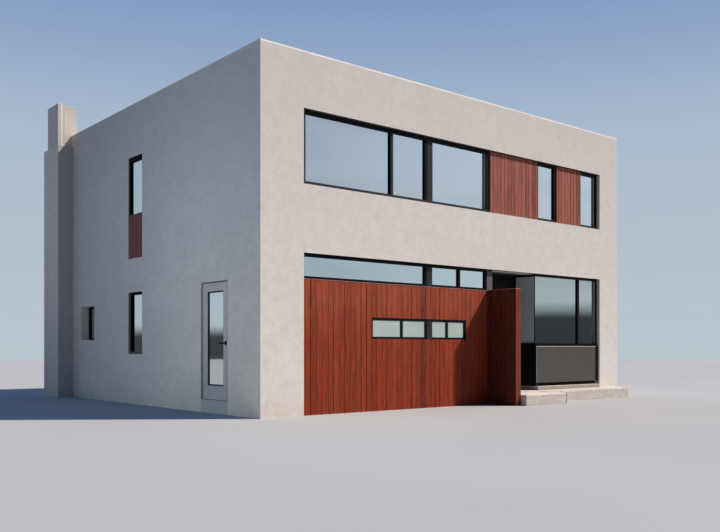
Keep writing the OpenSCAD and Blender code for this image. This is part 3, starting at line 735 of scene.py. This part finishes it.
cam = bpy.data.objects.new("camera", bpy.data.cameras.new("camera"))
bpy.context.scene.collection.objects.link(cam)
cam.location = (-7.363 - OX, -11.319 - OY, 1.016 + OZ)
cam.rotation_euler = (math.radians(90.0), 0.0, math.radians(-39.851))
cam.data.sensor_width = 36.0
cam.data.lens = 36.0 * 834.78 / 720.0
cam.data.shift_y = (348.29 - 266.0) / 720.0
cam.data.clip_end = 500.0
bpy.context.scene.camera = cam

sun = bpy.data.objects.new("sun", bpy.data.lights.new("sun", "SUN"))
bpy.context.scene.collection.objects.link(sun)
sun.data.energy = 4.97
sun.data.angle = math.radians(1.5)
sun.data.color = (1.0, 0.860, 0.722)
sun.rotation_euler = Vector((-1.0, 0.75, -1.34)).to_track_quat("-Z", "Y").to_euler()

# a soft low panel beside the flank
fill = bpy.data.objects.new("fill", bpy.data.lights.new("fill", "AREA"))
bpy.context.scene.collection.objects.link(fill)
fill.data.shape = "RECTANGLE"
fill.data.size, fill.data.size_y = 9.0, 1.0
fill.data.spread = math.radians(100.0)
fill.data.energy = 66.0
fill.data.color = (0.88, 0.97, 1.0)
fill.location = (-7.6 - OX, 1.6 - OY, 1.0)
fill.rotation_euler = Vector((1.0, 0.08, -0.06)).to_track_quat("-Z", "Z").to_euler()
fill.visible_glossy = False
fill.visible_camera = False
# it lights the walls only, so no spot shows on the floor
unlit = bpy.data.collections.new("fill_leaves_out")
unlit.objects.link(floor)
unlit.collection_objects[0].light_linking.link_state = "EXCLUDE"
fill.light_linking.receiver_collection = unlit

world = bpy.data.worlds.new("world")
bpy.context.scene.world = world
world.use_nodes = True
t = world.node_tree
bg = t.nodes["Background"]
tc = t.nodes.new("ShaderNodeTexCoord")
sp = t.nodes.new("ShaderNodeSeparateXYZ")
rp = t.nodes.new("ShaderNodeValToRGB")
t.links.new(tc.outputs["Generated"], sp.inputs[0])
t.links.new(sp.outputs["Z"], rp.inputs["Fac"])
el = rp.color_ramp.elements
el[0].position, el[0].color = 0.0, (0.78, 0.88, 0.96, 1)
el[1].position, el[1].color = 0.75, (0.10, 0.25, 0.62, 1)
for at, c in ((0.24, (0.63, 0.80, 1.0, 1)), (0.42, (0.27, 0.44, 0.80, 1))):
    mid = el.new(at)
    mid.color = c


def facing(x, y, lo, hi, a, b):
    """A factor by how far a direction of the world faces (x, y)."""
    dot = t.nodes.new("ShaderNodeVectorMath")
    dot.operation = "DOT_PRODUCT"
    dot.inputs[1].default_value = (x, y, 0.0)
    t.links.new(tc.outputs["Generated"], dot.inputs[0])
    mr = t.nodes.new("ShaderNodeMapRange")
    for k, v in (("From Min", lo), ("From Max", hi), ("To Min", a), ("To Max", b)):
        mr.inputs[k].default_value = v
    t.links.new(dot.outputs["Value"], mr.inputs["Value"])
    return mr.outputs["Result"]


# the world is brighter ahead-right and behind-left, where the panes of the two walls mirror
# it, and dimmer to the front-left
fac = facing(0.64, -0.77, 0.3, 0.95, 1.0, 1.30)
for f in (facing(-0.64, 0.77, 0.3, 0.95, 1.0, 1.20), facing(-0.77, -0.64, 0.0, 0.8, 1.0, 0.14)):
    mu = t.nodes.new("ShaderNodeMath")
    mu.operation = "MULTIPLY"
    t.links.new(fac, mu.inputs[0])
    t.links.new(f, mu.inputs[1])
    fac = mu.outputs[0]


def arith(op, a, b):
    n = t.nodes.new("ShaderNodeMath")
    n.operation = op
    for i, v in enumerate((a, b)):
        if isinstance(v, (int, float)):
            n.inputs[i].default_value = v
        else:
            t.links.new(v, n.inputs[i])
    return n.outputs[0]


# soft streaks in the part of the world before the house, which only the panes mirror
stretch = t.nodes.new("ShaderNodeMapping")
stretch.inputs["Scale"].default_value = (2.6, 2.6, 9.0)
t.links.new(tc.outputs["Generated"], stretch.inputs["Vector"])
cl = t.nodes.new("ShaderNodeTexNoise")
for k, v in (("Scale", 1.0), ("Detail", 5.0), ("Roughness", 0.55)):
    cl.inputs[k].default_value = v
t.links.new(stretch.outputs["Vector"], cl.inputs["Vector"])
cm = t.nodes.new("ShaderNodeMapRange")
for k, v in (("From Min", 0.42), ("From Max", 0.64), ("To Min", -0.10), ("To Max", 0.22)):
    cm.inputs[k].default_value = v
t.links.new(cl.outputs["Fac"], cm.inputs["Value"])
ahead = facing(0.10, -1.0, 0.0, 0.35, 0.0, 1.0)
side = facing(1.0, 0.0, 0.62, 0.84, 0.0, 0.42)
fac = arith("MULTIPLY", fac, arith("ADD", 1.0, arith("MULTIPLY", ahead, arith("ADD", side, cm.outputs["Result"]))))
# a soft dark horizon ahead on the right and, lower, behind on the left
for x, y, lo, hi, dark in ((0.80, -0.60, 0.036, 0.054, 0.09), (-0.50, 0.87, 0.014, 0.027, 0.10)):
    low = t.nodes.new("ShaderNodeMapRange")
    for k, v in (("From Min", lo), ("From Max", hi), ("To Min", dark), ("To Max", 1.0)):
        low.inputs[k].default_value = v
    t.links.new(sp.outputs["Z"], low.inputs["Value"])
    drop = arith("MULTIPLY", facing(x, y, 0.5, 0.7, 0.0, 1.0), arith("SUBTRACT", 1.0, low.outputs["Result"]))
    fac = arith("MULTIPLY", fac, arith("SUBTRACT", 1.0, drop))
sc = t.nodes.new("ShaderNodeVectorMath")
sc.operation = "SCALE"
t.links.new(rp.outputs["Color"], sc.inputs[0])
t.links.new(fac, sc.inputs["Scale"])
t.links.new(sc.outputs["Vector"], bg.inputs["Color"])
bg.inputs["Strength"].default_value = 0.63
# straight behind the house the backdrop is the plain gradient, from every side
plain = t.nodes.new("ShaderNodeBackground")
plain.inputs["Strength"].default_value = 0.63
t.links.new(rp.outputs["Color"], plain.inputs["Color"])
lp = t.nodes.new("ShaderNodeLightPath")
both = t.nodes.new("ShaderNodeMixShader")
t.links.new(lp.outputs["Is Camera Ray"], both.inputs["Fac"])
t.links.new(bg.outputs["Background"], both.inputs[1])
t.links.new(plain.outputs["Background"], both.inputs[2])
t.links.new(both.outputs["Shader"], t.nodes["World Output"].inputs["Surface"])
bpy.context.scene.view_settings.view_transform = "Standard"
bpy.context.scene.view_settings.look = "None"
